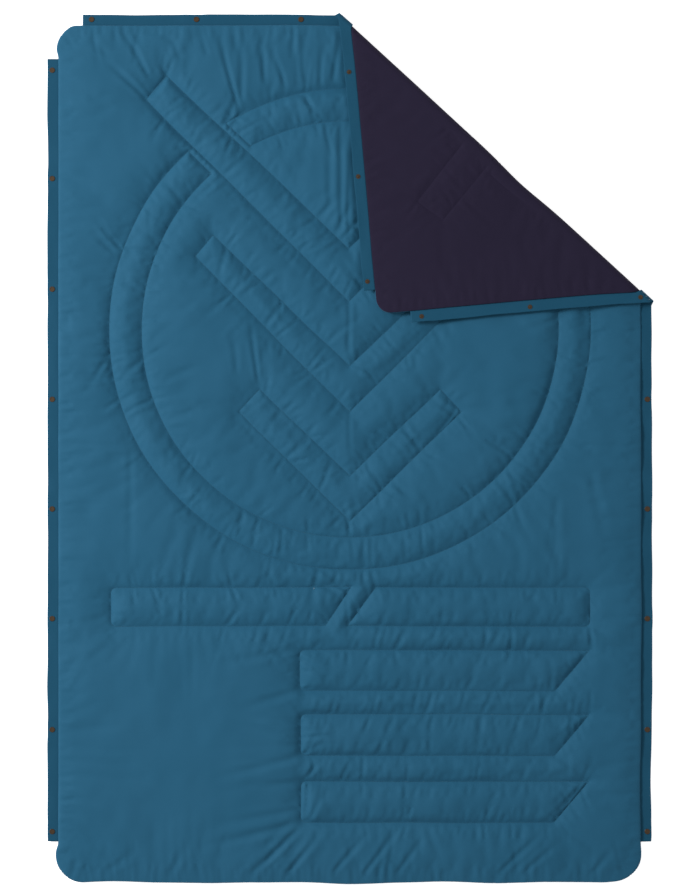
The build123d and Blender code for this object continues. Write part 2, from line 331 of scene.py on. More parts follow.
def edge_distance(points):
    """Distance inside the panel's outline, and the direction outwards."""
    local = points - panel_centre
    radius = np.where((local > 0).all(1), folded_corner_radius, panel_corner_radius)
    over = np.abs(local) - panel_half + radius[:, None]
    corner = (over > 0).all(1)
    reach = np.hypot(*np.maximum(over, 0).T)
    distance = radius - np.where(corner, reach, over.max(1))
    outward = np.where(corner[:, None], np.maximum(over, 0), over == over.max(1)[:, None]).astype(float)
    outward /= np.maximum(np.hypot(*outward.T), 1e-9)[:, None]
    return distance, outward * np.where(local < 0, -1, 1)


def thinned(points, kept, gap):
    """The points that are further than a gap from every kept point, by a grid of cells a gap wide."""
    cells = {}
    for p in np.concatenate(kept):
        cells.setdefault((int(p[0] // gap), int(p[1] // gap)), []).append(p)
    found = []
    for p in points:
        column, row = int(p[0] // gap), int(p[1] // gap)
        near = (q for i in (-1, 0, 1) for j in (-1, 0, 1) for q in cells.get((column + i, row + j), ()))
        if all((p[0] - q[0]) ** 2 + (p[1] - q[1]) ** 2 > gap * gap for q in near):
            found.append(p)
            cells.setdefault((column, row), []).append(p)
    return np.array(found).reshape(-1, 2)


def fold_rows(steps, spacing, low, high):
    """Points in rows along the fold line, inside a box."""
    reach = np.arange(-1.2, 1.2, spacing)
    rows = [fold_point + s * fold_across + reach[:, None] * fold_along for s in steps]
    points = np.concatenate(rows)
    return points[((points > np.array(low)) & (points < np.array(high))).all(1)]


def near_detail(points):
    """Where the quilt needs its finest mesh: beside seams and edges and along its longest wrinkles."""
    close = (seam_distance(points, quilting) < fine_reach) | (edge_distance(points)[0] < fine_reach)
    for x0, y0, x1, y1, *_ in long_wrinkles:
        close |= to_segment(points, (x0 * MM, y0 * MM), (x1 * MM, y1 * MM)) < 22 * MM
    return close


def triangulated(points, lines):
    """Triangles between points that keep the given chains of points as edges: (points, triangles)."""
    chains, start = [], len(points)
    everything = [points]
    for line, closed in lines:
        count = len(line)
        last = count if closed else count - 1
        chains += [(start + k, start + (k + 1) % count) for k in range(last)]
        everything.append(line)
        start += count
    flat = np.concatenate(everything)
    found = geometry.delaunay_2d_cdt([Vector(p) for p in flat], chains, [], 0, 1e-6, False)
    places = np.array([tuple(p) for p in found[0]])
    faces = np.array([f for f in found[2] if len(f) == 3])
    a, b, c = (places[faces[:, k]] for k in range(3))
    doubled = (b[:, 0] - a[:, 0]) * (c[:, 1] - a[:, 1]) - (b[:, 1] - a[:, 1]) * (c[:, 0] - a[:, 0])
    return places, faces[doubled > 1e-10]


def hexagonal(step):
    """Points of an even triangular grid over the whole panel."""
    rows = []
    for k, y in enumerate(np.arange(panel_low[1], panel_high[1], step * sqrt(3) / 2)):
        x = np.arange(panel_low[0], panel_high[0], step) + (k % 2) * step / 2
        rows.append(np.stack([x, np.full_like(x, y)], 1))
    return np.concatenate(rows)


def panel_layout(step, wide_step, rows_beside_seams, seams):
    """Points and triangles of the whole panel laid flat, with edges along its seams and the fold line.

    The points are a step apart near seams and a wide step apart elsewhere.
    """
    rng = np.random.default_rng(11)
    outline = rounded_outline(0, step)
    seam_lines = [seam_points(s, step) for s in seams]
    insets = np.array([1.2, 2.6, 4.2, 6, 8.2, 11]) * MM  # rows inside the outline
    rings = np.concatenate([rounded_outline(inset, step) for inset in insets])
    fold_steps = np.array([0, 1.2, 2.4, 4, 6, 8, 10.5, 14]) * MM
    fold_steps = np.concatenate([-fold_steps[:0:-1], fold_steps])
    fold = fold_rows(fold_steps, step, panel_low[:2], panel_high[:2])
    fold = fold[edge_distance(fold)[0] > 1.2 * MM]
    beside = []
    for line in seam_lines:
        along = np.gradient(line, axis=0)
        normal = np.stack([-along[:, 1], along[:, 0]], 1) / np.hypot(*along.T)[:, None]
        for distance in rows_beside_seams:
            beside += [line + distance * normal, line - distance * normal]
    beside = np.concatenate(beside)
    clear = 0.8 * min(rows_beside_seams)
    beside = beside[(seam_distance(beside, seams) > clear) & (edge_distance(beside)[0] > 2 * step)]
    close, wide = hexagonal(step), hexagonal(wide_step)
    close = close[near_detail(close)]
    wide = wide[~near_detail(wide)]
    grid = np.concatenate([close, wide])
    grid = grid + rng.normal(0, step * 0.06, grid.shape)
    grid = grid[(edge_distance(grid)[0] > 14 * MM) & (np.abs(across_fold(grid)) > 15 * MM)]
    rings = rings[np.abs(across_fold(rings)) > 15 * MM]
    kept = [outline, *seam_lines]
    rings = thinned(rings, kept, 0.28 * step)
    fold = thinned(fold, kept, 0.9 * MM)
    beside = thinned(beside, [*kept, rings, fold], 0.22 * step)
    grid = thinned(grid, [*kept, rings, fold, beside], 0.62 * step)
    points = np.concatenate([rings, fold, beside, grid])
    return triangulated(points, [(outline, True)] + [(line, False) for line in seam_lines])


# -------- the fold


def fold_dents(along):
    """How far the folded edge is drawn in, along the fold line."""
    wave = 1.1 * MM * (1 + noise(along / 0.16, np.full_like(along, 0.5), 86))
    return wave + 1.4 * MM + 5.0 * MM * np.exp(-(((along - dent_place) / (75 * MM)) ** 2))


def folded(points, nose_share, least_half=0.1 * MM):
    """Flat places turned over at the fold line: (places at rest, how far each follows the corner, 0 to 1).

    nose_share is how far the bend stands out past the fold line, as a share of its radius. The bend takes
    up at least least_half of the cloth on each side of the fold line.
    """
    flat = points[:, :2]
    s = across_fold(flat)
    along = (flat - fold_point) @ fold_along
    radius = fold_height - points[:, 2]
    half = np.maximum(radius * (1 - nose_share), least_half)
    share = np.clip((s + half) / (2 * half), 0, 1)
    turn = share * pi
    bending = (share > 0) & (share < 1)
    over = share >= 1
    unbent_z = np.where(over, 2 * fold_height - points[:, 2], points[:, 2])
    new_s = np.where(bending, -half + radius * np.sin(turn), np.where(over, -s, s))
    new_z = np.where(bending, fold_height - radius * np.cos(turn), unbent_z)
    new_s = new_s - fold_dents(along) * np.exp(-((s / (45 * MM)) ** 2))
    plane = fold_point + new_s[:, None] * fold_across + along[:, None] * fold_along
    return np.column_stack([plane, new_z]), share


def covered(points):
    """How far each flat place is under the folded corner, or on it: 0 to 1, with a soft border."""
    image = reflected(points)
    inside = np.minimum(flap_outer - image[:, 0], panel_high[1] + 0.02 - image[:, 1])
    under = smooth(inside / (25 * MM) + 1) * smooth(-across_fold(points) / (5 * MM) + 1)
    return np.maximum(under, smooth(across_fold(points) / (20 * MM) + 1))


# -------- wrinkles


def turned(points, angle):
    """Coordinates along and across a direction."""
    along = np.array([cos(angle), sin(angle)])
    return points @ along, points @ np.array([-along[1], along[0]])


def crease_into(height, points, start, angle, length, width, depth, bend, seed):
    """Presses one crease into the heights: deepest near its start, fading along it, a little crooked."""
    middle = start + 0.5 * length * np.array([cos(angle), sin(angle)])
    reach = 0.62 * length + 4 * width
    near = np.nonzero((np.abs(points - middle) < reach).all(1))[0]
    if not len(near):
        return
    along, across = turned(points[near] - start, angle)
    t = along / length
    across = across - bend * t * t + 0.2 * width * np.sin(4 * t + seed)
    fade = smooth((t + 0.05) / 0.15) * smooth((1.05 - t) / 0.7)
    u = across / (width * (0.75 + 0.5 * np.clip(t, 0, 1)))
    height[near] -= depth * fade * (np.exp(-u * u) - 0.42 * np.exp(-((np.abs(u) - 1.9) ** 2)))


def seam_puckers(points):
    """Creases that the stitching pulls into the cloth on both sides of every line of quilting."""
    height = np.zeros(len(points))
    rng = np.random.default_rng(5)
    for seam in quilting:
        line = seam_points(seam, 2 * MM)
        travelled = np.concatenate([[0], np.cumsum(np.hypot(*np.diff(line, axis=0).T))])
        place = rng.uniform(0, 20 * MM)
        while place < travelled[-1]:
            here = np.array([np.interp(place, travelled, line[:, k]) for k in (0, 1)])
            ahead = np.array([np.interp(place + MM, travelled, line[:, k]) for k in (0, 1)])
            run = ahead - here if place + MM < travelled[-1] else line[-1] - line[-2]
            normal = atan2(run[0], -run[1]) - (0.25 if here[1] < long_bar[0] else 0)
            size = rng.exponential(1.0)
            for turn in (0, pi):
                if rng.random() < 0.8:
                    length = min(0.018 + 0.026 * size * rng.uniform(0.5, 1.5), 0.12)
                    angle = normal + turn + rng.normal(0, 0.22)
                    width = rng.uniform(2.6, 4.6) * MM * (1 + 5 * length)
                    depth = min(0.5 + 0.75 * size, 2.4) * MM * rng.uniform(0.6, 1.2)
                    bend, seed = rng.normal(0, 0.1) * length, rng.uniform(0, 6)
                    crease_into(height, points, here, angle, length, width, depth, bend, seed)
            place += rng.uniform(9, 34) * MM
    return height


def edge_puckers(points):
    """Creases from the panel's edge seam inwards."""
    height = np.zeros(len(points))
    rng = np.random.default_rng(6)
    rim = rounded_outline(2 * MM, 10 * MM)
    inwards = -edge_distance(rim)[1]
    place = 0.0
    while place < len(rim):
        start = rim[int(place)]
        angle = atan2(*inwards[int(place)][::-1]) + rng.normal(0, 0.2)
        length = min(0.02 + rng.exponential(0.028), 0.12)
        width = rng.uniform(2.8, 4.8) * MM * (1 + 5 * length)
        depth = rng.uniform(0.4, 1.5) * MM
        crease_into(height, points, start, angle, length, width, depth, 0.0, rng.uniform(0, 6))
        place += rng.uniform(1.2, 4.2)
    return height


# long wrinkles, each from its deepest end to where it fades: X, Y, X, Y, width and depth, in millimetres
long_wrinkles = [
    (-466, 857, -529, 973, 6, 2.6), (-471, 803, -552, 884, 6, 3.0), (-426, 862, -438, 884, 5, 2.2),
    (-560, 905, -600, 950, 8, 1.2), (-256, 785, -305, 942, 5, 3.4), (-249, 800, -252, 936, 7, 2.4),
    (-197, 838, -212, 969, 6, 2.2), (-152, 832, -172, 905, 5, 2.2), (-108, 840, -113, 969, 6, 2.4),
    (-72, 836, -60, 936, 6, 2.2), (-41, 842, -24, 964, 6, 2.4), (-130, 968, -136, 915, 6, 1.6),
    (-330, 905, -352, 968, 7, 1.8), (-395, 896, -418, 962, 7, 1.6), (-18, 500, -27, 830, 7, 2.4),
    (20, 500, 12, 830, 6, 3.0), (2, 480, -6, 640, 5, 2.0), (-44, 560, -50, 740, 8, 1.6),
    (-211, 150, -232, 285, 5, 2.6), (-262, 170, -268, 262, 7, 1.4), (-547, 449, -590, 490, 6, 1.8),
    (-565, 198, -605, 140, 6, 1.8), (-430, 150, -340, 190, 9, 1.4), (-420, 60, -330, 86, 9, 1.4),
    (-152, -996, -73, -896, 6, 3.0), (-197, -962, -108, -868, 6, 3.2), (-235, -990, -118, -880, 7, 2.4),
    (-118, -872, -330, -922, 9, 2.6), (-118, -840, -300, -868, 9, 2.0), (-39, -984, 40, -888, 6, 2.6),
    (28, -992, 107, -890, 6, 3.0), (107, -988, 164, -904, 6, 2.4), (66, -990, 78, -930, 6, 2.0),
    (180, -876, 214, -965, 9, 1.8), (333, -996, 446, -898, 6, 2.6), (395, -994, 476, -916, 6, 2.0),
    (560, -990, 610, -930, 7, 1.8), (-560, -985, -500, -930, 9, 1.4), (-420, -992, -380, -930, 8, 1.6),
    (-117, -473, -300, -500, 9, 1.6), (-117, -566, -250, -600, 9, 1.8), (-117, -640, -240, -620, 9, 1.4),
    (-117, -715, -300, -765, 9, 2.2), (-117, -775, -260, -790, 9, 1.6), (-108, -713, -72, -655, 6, 2.2),
    (-108, -768, -66, -726, 5, 2.6), (-96, -862, -60, -800, 6, 2.2), (480, -566, 610, -640, 9, 1.8),
    (478, -715, 600, -800, 9, 1.8), (476, -870, 600, -950, 9, 1.8), (557, -417, 655, -470, 8, 1.6),
    (480, -120, 470, -290, 10, 1.4), (560, -60, 590, -230, 12, 1.4), (-505, 0, -512, -330, 8, 0.9),
    (-648, 6, -480, 2, 6, 0.9), (662, 2, 330, 8, 6, 0.9), (0, 336, 0, 190, 5, 1.6),
    (0, 78, 0, -62, 5, 1.2), (0, -174, 0, -209, 5, 2.0), (555, -418, 556, -475, 5, 3.0),
    (555, -566, 556, -622, 5, 1.6), (30, -291, 34, -328, 5, 2.2), (-30, -291, -30, -328, 5, 2.2),
]


def laid_wrinkles(points):
    """The long wrinkles of the laid blanket."""
    height = np.zeros(len(points))
    for number, (x0, y0, x1, y1, width, depth) in enumerate(long_wrinkles):
        run = np.array([x1 - x0, y1 - y0]) * MM
        start = np.array([x0, y0]) * MM
        bend = 6 * MM * sin(3 * number)
        angle, length = atan2(run[1], run[0]), 1.2 * hypot(*run)
        crease_into(height, points, start, angle, length, width * MM, depth * MM, bend, number)
    return height


def wobble(points):
    """Slow sideways shifts of the whole quilt, as cloth is never cut and laid quite true."""
    shift = np.stack([noise_at(points, 0.13, seed) for seed in (75, 76)], 1)
    wide = np.stack([noise_at(points, 0.4, seed) for seed in (77, 78)], 1)
    return 1.4 * MM * shift + 1.6 * MM * wide


def simulated_cloth():
    """The face cloth held along the quilting and the outline, a little too large and blown up by the filling.

    A cloth simulation on a square grid. The result is the height of each grid place, as rows from the bottom.
    """
    columns = np.arange(-panel_half[0], panel_half[0] + cloth_grid, cloth_grid)
    rows = np.arange(panel_low[1], panel_high[1] + cloth_grid, cloth_grid)
    flat = np.column_stack([a.ravel() for a in np.meshgrid(columns, rows)])
    held = (seam_distance(flat, quilting) < 0.6 * cloth_grid) | (edge_distance(flat)[0] < cloth_grid)
    uneven = 0.6 * MM * noise_at(flat, 0.02, 87)
    number = np.arange(len(flat)).reshape(len(rows), len(columns))
    corners = (number[:-1, :-1], number[:-1, 1:], number[1:, 1:], number[1:, :-1])
    mesh = bpy.data.meshes.new("simulated")
    places = np.column_stack([flat, np.where(held, 0, uneven)])
    mesh.from_pydata(places.tolist(), [], np.stack([c.ravel() for c in corners], 1).tolist())
    cloth_piece = add_object("simulated", mesh)
    cloth_piece.vertex_groups.new(name="held").add(np.flatnonzero(held).tolist(), 1.0, "REPLACE")
    modifier = cloth_piece.modifiers.new("cloth", "CLOTH")
    modifier.point_cache.frame_start, modifier.point_cache.frame_end = 1, last_cloth_frame
    settings = modifier.settings
    settings.quality, settings.mass = 5, 0.15
    settings.tension_stiffness = settings.compression_stiffness = 12
    settings.shear_stiffness, settings.bending_stiffness = 6, 0.05
    settings.vertex_group_mass = "held"
    settings.use_pressure, settings.uniform_pressure_force = True, 4
    settings.shrink_min = -cloth_excess
    settings.effector_weights.gravity = 0
    for frame_number in range(1, last_cloth_frame + 1):
        bpy.context.scene.frame_set(frame_number)
    swollen = cloth_piece.evaluated_get(bpy.context.evaluated_depsgraph_get()).to_mesh()
    after = np.zeros(3 * len(flat))
    swollen.vertices.foreach_get("co", after)
    height = after.reshape(-1, 3)[:, 2].reshape(len(rows), len(columns))
    bpy.context.scene.frame_set(1)
    bpy.data.objects.remove(cloth_piece)
    bpy.data.meshes.remove(mesh)
    return height


def blurred(height, reach):
    """A height field averaged over its neighbours in both directions."""
    weights = np.exp(-((np.arange(-2 * reach, 2 * reach + 1) / reach) ** 2))
    weights = weights / weights.sum()
    for axis in (0, 1):
        ends = [(2 * reach, 2 * reach) if k == axis else (0, 0) for k in (0, 1)]
        padded = np.pad(height, ends, mode="edge")
        height = sum(
            w * np.take(padded, np.arange(k, k + height.shape[axis]), axis) for k, w in enumerate(weights)
        )
    return height


def simulated_creases():
    """What the simulated cloth adds to the surface: its creases, without the broad swelling, and capped."""
    height = simulated_cloth()
    height = crease_share * (height - blurred(height, 3))
    cap = np.where(height > 0, crease_cap, crease_depth)
    return cap * np.tanh(height / cap)


def sampled(grid, points):
    """The height at each point of a field given on the simulated cloth's grid."""
    column = np.clip((points[:, 0] + panel_half[0]) / cloth_grid, 0, grid.shape[1] - 1.001)
    row = np.clip((points[:, 1] - panel_low[1]) / cloth_grid, 0, grid.shape[0] - 1.001)
    left, low = column.astype(int), row.astype(int)
    u, v = smooth(column - left), smooth(row - low)
    lower = grid[low, left] * (1 - u) + grid[low, left + 1] * u
    upper = grid[low + 1, left] * (1 - u) + grid[low + 1, left + 1] * u
    return lower * (1 - v) + upper * v


def all_wrinkles(points, creases):
    """Every wrinkle of the quilt together, limited in depth."""
    height = seam_puckers(points) + edge_puckers(points) + laid_wrinkles(points)
    if creases is not None:
        height = height + sampled(creases, points)
    return deepest_wrinkle * np.tanh(height / deepest_wrinkle)


def undulation(points):
    """Slow rise and fall of the wadding over the whole blanket."""
    wide, close, fine = noise_at(points, 0.21, 71), noise_at(points, 0.075, 72), noise_at(points, 0.032, 73)
    return 2.2 * MM * wide + 1.8 * MM * close + 0.8 * MM * fine


# -------- surfaces of the quilt


def rolled_edge(flat, z, from_edge, outward, end_height, overhang):
    """Bends the last stretch inside the outline round, down or up to the height it has at the seam.

    From the seam the cloth first leans out to its widest point, and then rounds over inwards.
    """
    share = np.clip(from_edge / edge_roll, 0, 1)
    lean = np.clip(share / widest_share, 0, 1)
    turn = np.clip((share - widest_share) / (1 - widest_share), 0, 1) * pi / 2
    out = overhang * smooth(lean) - (overhang + edge_roll) * (1 - np.cos(turn))
    lift = widest_lift * lean + (1 - widest_lift) * np.sin(turn)
    moved = flat + outward * np.where(share < 1, out + from_edge, 0)[:, None]
    return np.column_stack([moved, end_height + (z - end_height) * lift])


def beside_fold(flat):
    """1 on the strip that turns over at the fold, where the quilting can't draw the cloths together."""
    return smooth((turning_half - np.abs(across_fold(flat))) / turning_border)


def unheld(flat):
    """How free the edge is to swell outwards: 0 beside a flap, 1 round the corners and along the bottom."""
    x, y = flat.T
    past_side = smooth((np.abs(x) + top_flap_low[0]) / free_border)
    past_top = past_side * smooth((y - left_flap_high[1]) / free_border)
    past_bottom = smooth((left_flap_low[1] - y) / free_border)
    free = np.maximum(past_top, past_bottom) * smooth(-across_fold(flat) / (20 * MM))
    held_corner = 1 - 0.8 * smooth((x / panel_half[0] - 0.86) / 0.1)  # the bottom right one lies tighter
    free = free * np.where((x > 0) & (y < left_flap_low[1]), held_corner, 1)
    return free * (1 + 0.45 * noise_at(flat, 0.11, 85))


def face_surface(flat, wrinkles):
    """The face cloth over the flat layout: its places, with the padded edge rolled over."""
    from_seam = seam_distance(flat, quilting)
    from_edge, outward = edge_distance(flat)
    nearest = np.minimum(from_seam, from_edge + edge_fullness)
    z = seam_height + groove_rise * (1 - np.exp(-nearest / groove_width))
    z = z + puff_rise * (1 - np.exp(-nearest / puff_width))
    z = z + smooth(from_seam / (16 * MM)) * undulation(flat) + smooth(from_seam / (4 * MM)) * wrinkles
    press = covered(flat)
    lowered = pressed_height - press_softness * np.log1p(np.exp((pressed_height - z) / press_softness))
    z = z * (1 - press) + lowered * press
    turning = beside_fold(flat)
    z = z * (1 - turning) + inner_fold_height * turning
    overhang = edge_overhang + free_overhang * unheld(flat)
    return rolled_edge(flat, z, from_edge, outward, flap_high + seam_clearance, overhang)


def lining_surface(flat, wrinkles):
    """The lining under the flat layout, drawn in a little along the quilting."""
    from_seam = seam_distance(flat, quilting)
    from_edge, outward = edge_distance(flat)
    slow = 0.5 + 0.5 * noise_at(flat, 0.17, 81)
    close = 0.5 + 0.5 * noise_at(flat, 0.06, 82)
    z = 0.3 * MM + 1.3 * MM * slow + 0.7 * MM * close
    z = z - 0.6 * smooth(from_seam / (4 * MM)) * wrinkles * (1 - beside_fold(flat))
    drawn_in = np.exp(-from_seam / (6 * MM)) * (1 - beside_fold(flat))
    z = np.maximum(z * (1 - drawn_in) + lining_seam_height * drawn_in, 0.2 * MM)
    return rolled_edge(flat, z, from_edge, outward, flap_low - seam_clearance, 0.5 * edge_overhang)


# -------- meshes


def make_mesh(name, places, faces, flat, finish):
    """A mesh object of triangles or other faces; its UV map is the flat layout in metres."""
    mesh = bpy.data.meshes.new(name)
    mesh.from_pydata(places.tolist(), [], [list(map(int, f)) for f in faces])
    mesh.polygons.foreach_set("use_smooth", np.ones(len(mesh.polygons), bool))
    corners = np.zeros(len(mesh.loops), np.int32)
    mesh.loops.foreach_get("vertex_index", corners)
    layer = mesh.uv_layers.new(name="UVMap")
    layer.data.foreach_set("uv", flat[corners, :2].astype(np.float32).ravel())
    mesh.materials.append(finish)
    mesh.update()
    return add_object(name, mesh)


def free_part(places):
    """How far the quilt may shift: less beside the left flap, which turns about a straight line."""
    return (0.2 + 0.8 * smooth((places[:, 0] + panel_half[0]) / (60 * MM)))[:, None]


def follow_fold(made):
    """Bakes the piece's placement into its mesh."""
    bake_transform(made)


# -------- snaps and flaps

side_snap_rows = [872 * MM, 621 * MM, 365 * MM, 110 * MM, -144 * MM, -398 * MM, -655 * MM, -891 * MM]
top_snap_columns = [-598 * MM, -355 * MM, -113 * MM, 113 * MM, 355 * MM, 598 * MM]
flap_width = flap_outer - panel_half[0]
flap_step, fine_flap_step = 4 * MM, 0.8 * MM  # along a flap, and where it turns over at the fold
fine_flap_reach = 10 * MM  # on each side of the fold line


def ripple(along, across, snaps, seed):
    """Small waves in a flap, flat around each snap: (shift outwards, lift)."""
    nearest = np.abs(along[:, None] - np.array(snaps)).min(1)
    free = smooth((nearest - 8 * MM) / (25 * MM)) * across / flap_width
    shift = 1.3 * MM * noise(along / 0.07, np.full_like(along, 0.3), seed)
    lift = 1.1 * MM * noise(along / 0.045, across / 0.03, seed + 1)
    return free * shift, free * lift


def flap_section(root, outer, low, high):
    """Points (distance from the panel, height) round a flap's cross-section, with its outer edge rounded."""
    radius = (high - low) / 2
    across = np.linspace(root, outer - radius, 11)
    bend = np.linspace(pi / 2, -pi / 2, 7)[1:-1]
    upper = [(a, high) for a in across]
    nose = [(outer - radius + radius * cos(t), (low + high) / 2 + radius * sin(t)) for t in bend]
    lower = [(a, low) for a in across[::-1]]
    return np.array(upper + nose + lower)


def flap(name, side, low_end, high_end, section, snaps, seed, finish):
    """A strip beside the panel, from one end to the other along it: the object and its share of the fold."""
    stations = [low_end]
    while stations[-1] < high_end:
        both_edges = across_fold(at_edge(side, np.full(2, stations[-1]), np.array([0, flap_width])))
        near_fold = both_edges.min() < fine_flap_reach and both_edges.max() > -fine_flap_reach
        stations.append(min(high_end, stations[-1] + (fine_flap_step if near_fold else flap_step)))
    stations = np.array(stations)
    count = len(section)
    along = np.repeat(stations, count)
    across, height = np.tile(section, (len(stations), 1)).T
    shift, lift = ripple(along, across, snaps, seed)
    flat = at_edge(side, along, across + shift)
    flat = flat + wobble(flat) * free_part(flat)
    places, share = folded(np.column_stack([flat, height + lift]), flap_nose, flap_bend)
    faces = []
    for k in range(len(stations) - 1):
        for j in range(count):
            after = (j + 1) % count
            faces.append((k * count + j, k * count + after, (k + 1) * count + after, (k + 1) * count + j))
    last = (len(stations) - 1) * count
    faces.append(tuple(range(count))[::-1])
    faces.append(tuple(range(last, last + count)))
    if side == "right":
        faces = [f[::-1] for f in faces]
    return make_mesh(name, places, faces, flat, finish), share


def bend_at_root(piece):
    """Bakes the left flap's placement into its mesh."""
    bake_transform(piece)


def at_edge(side, along, across):
    """Flat places beside the left, right or top edge."""
    if side == "top":
        return np.column_stack([along, panel_high[1] + across])
    sign = 1 if side == "right" else -1
    return np.column_stack([sign * (panel_half[0] + across), along])


# -------- finishes


def set_inputs(node, **values):
    """Sets a node's inputs; an underscore in a name stands for a space."""
    for key, value in values.items():
        node.inputs[key.replace("_", " ")].default_value = value


def new_finish(name, roughness, metallic=0.0):
    """A material with its Principled shader, and that shader."""
    finish = bpy.data.materials.new(name)
    finish.use_nodes = True
    shader = finish.node_tree.nodes["Principled BSDF"]
    set_inputs(shader, Roughness=roughness, Metallic=metallic)
    return finish, shader


def add(finish, kind, **values):
    """A node with the given input values."""
    node = finish.node_tree.nodes.new(kind)
    set_inputs(node, **values)
    return node


def link(finish, out, into):
    finish.node_tree.links.new(out, into)


def textured(finish, kind, place, **values):
    """A texture node with the given input values, laid out by one kind of coordinates."""
    node = add(finish, kind, **values)
    link(finish, place, node.inputs["Vector"])
    return node


def bump(finish, height, strength, distance, under=None):
    """The normal of a surface roughened by a height, on top of another such surface."""
    node = add(finish, "ShaderNodeBump", Strength=strength, Distance=distance)
    link(finish, height, node.inputs["Height"])
    if under is not None:
        link(finish, under, node.inputs["Normal"])
    return node.outputs["Normal"]


def mixed_colour(finish, factor, light, dark):
    """A colour between two, by a factor that varies over the surface."""
    mix = finish.node_tree.nodes.new("ShaderNodeMix")
    mix.data_type = "RGBA"
    link(finish, factor, mix.inputs[0])
    mix.inputs[6].default_value = (*dark, 1)
    mix.inputs[7].default_value = (*light, 1)
    return mix.outputs[2]


def cloth_finish(name, light, dark, sheen, roughness, grid):
    """Plain-woven cloth: fine threads, a ripstop grid, and slow changes of colour."""
    finish, shader = new_finish(name, roughness)
    set_inputs(shader, Specular_IOR_Level=0.12, Sheen_Weight=sheen, Sheen_Roughness=0.4)
    place = finish.node_tree.nodes.new("ShaderNodeTexCoord").outputs["UV"]
    slow = textured(finish, "ShaderNodeTexNoise", place, Scale=5.0, Detail=6.0, Roughness=0.6)
    link(finish, mixed_colour(finish, slow.outputs["Fac"], light, dark), shader.inputs["Base Color"])
    weave = finish.node_tree.nodes.new("ShaderNodeMath")
    weave.operation = "MAXIMUM"
    for k, direction in enumerate("XY"):
        wave = textured(
            finish, "ShaderNodeTexWave", place, Scale=weave_scale, Distortion=0.4, Detail=1.0
        )
        wave.bands_direction = direction
        link(finish, wave.outputs["Fac"], weave.inputs[k])
    ripstop = textured(
        finish, "ShaderNodeTexBrick", place, Scale=1 / grid, Mortar_Size=0.06, Mortar_Smooth=1.0,
        Brick_Width=1.0, Row_Height=1.0,
    )
    ripstop.offset = 0.0
    crumple = textured(finish, "ShaderNodeTexNoise", place, Scale=55.0, Detail=3.0, Roughness=0.55)
    threads = bump(finish, weave.outputs[0], 0.35, 0.12 * MM)
    ribs = bump(finish, ripstop.outputs["Fac"], 0.25, 0.1 * MM, threads)
    soft = bump(finish, crumple.outputs["Fac"], 0.3, 0.5 * MM, ribs)
    link(finish, soft, shader.inputs["Normal"])
    return finish


def metal_finish(name, light, dark, roughness):
    """Worn metal, darker and rougher in patches."""
    finish, shader = new_finish(name, roughness, metallic=1.0)
    place = finish.node_tree.nodes.new("ShaderNodeTexCoord").outputs["Object"]
    wear = textured(finish, "ShaderNodeTexNoise", place, Scale=700.0, Detail=4.0, Roughness=0.6)
    link(finish, mixed_colour(finish, wear.outputs["Fac"], light, dark), shader.inputs["Base Color"])
    scratches = bump(finish, wear.outputs["Fac"], 0.15, 0.05 * MM)
    link(finish, scratches, shader.inputs["Normal"])
    return finish


for material in list(bpy.data.materials):
    material.name = "cad_" + material.name
face_cloth = cloth_finish("face_cloth", (0.02, 0.108, 0.192), (0.013, 0.091, 0.165), 0.06, 0.72, 5 * MM)
flap_cloth = cloth_finish("flap_cloth", (0.011, 0.076, 0.138), (0.007, 0.064, 0.118), 0.04, 0.75, 5 * MM)
lining_cloth = cloth_finish("lining_cloth", (0.02, 0.015, 0.037), (0.014, 0.011, 0.028), 0.02, 0.8, 7 * MM)
fill = cloth_finish("fill", (0.82, 0.82, 0.8), (0.75, 0.75, 0.73), 0.2, 0.9, 7 * MM)
tape = cloth_finish("tape", (0.72, 0.72, 0.7), (0.65, 0.65, 0.63), 0.1, 0.85, 3 * MM)
thread = cloth_finish("thread", (0.03, 0.11, 0.17), (0.02, 0.085, 0.14), 0.1, 0.6, 2 * MM)
snap_metal = metal_finish("snap_metal", (0.16, 0.105, 0.065), (0.06, 0.04, 0.028), 0.42)
spring_wire = metal_finish("spring_wire", (0.62, 0.62, 0.62), (0.5, 0.5, 0.5), 0.3)

# -------- camera, floor, lights

camera = add_object("camera", bpy.data.cameras.new("camera"))
camera.location = (0.0006, -0.0017, 4.9)
camera.data.lens = 85
camera.data.sensor_width = 36
bpy.context.scene.camera = camera

floor_finish, floor_shader = new_finish("floor", 0.9)
set_inputs(
    floor_shader, Base_Color=(0.95, 0.95, 0.95, 1), Emission_Color=(1, 1, 1, 1), Emission_Strength=0.7
)
floor_half, floor_height = 12, -0.2 * MM
floor_corners = [
    (x * floor_half, y * floor_half, floor_height) for x, y in ((-1, -1), (1, -1), (1, 1), (-1, 1))
]
floor_mesh = bpy.data.meshes.new("floor")
floor_mesh.from_pydata(floor_corners, [], [(0, 1, 2, 3)])
floor_mesh.materials.append(floor_finish)
floor = add_object("floor", floor_mesh)


def area_light(name, place, size, power):
    """A square light that faces the middle of the blanket."""
    lamp = bpy.data.lights.new(name, "AREA")
    lamp.shape = "SQUARE"
    lamp.size = size
    lamp.energy = power
    made = add_object(name, lamp)
    made.location = place
    made.rotation_euler = (-Vector(place)).to_track_quat("-Z", "Y").to_euler()


area_light("key", (-4.75, 1.3, 3.3), 1.4, 330)
world = bpy.data.worlds.new("world")
world.use_nodes = True
set_inputs(world.node_tree.nodes["Background"], Color=(1, 1, 1, 1), Strength=0.5)
bpy.context.scene.world = world
bpy.context.scene.view_settings.view_transform = "Standard"

# -------- the quilt

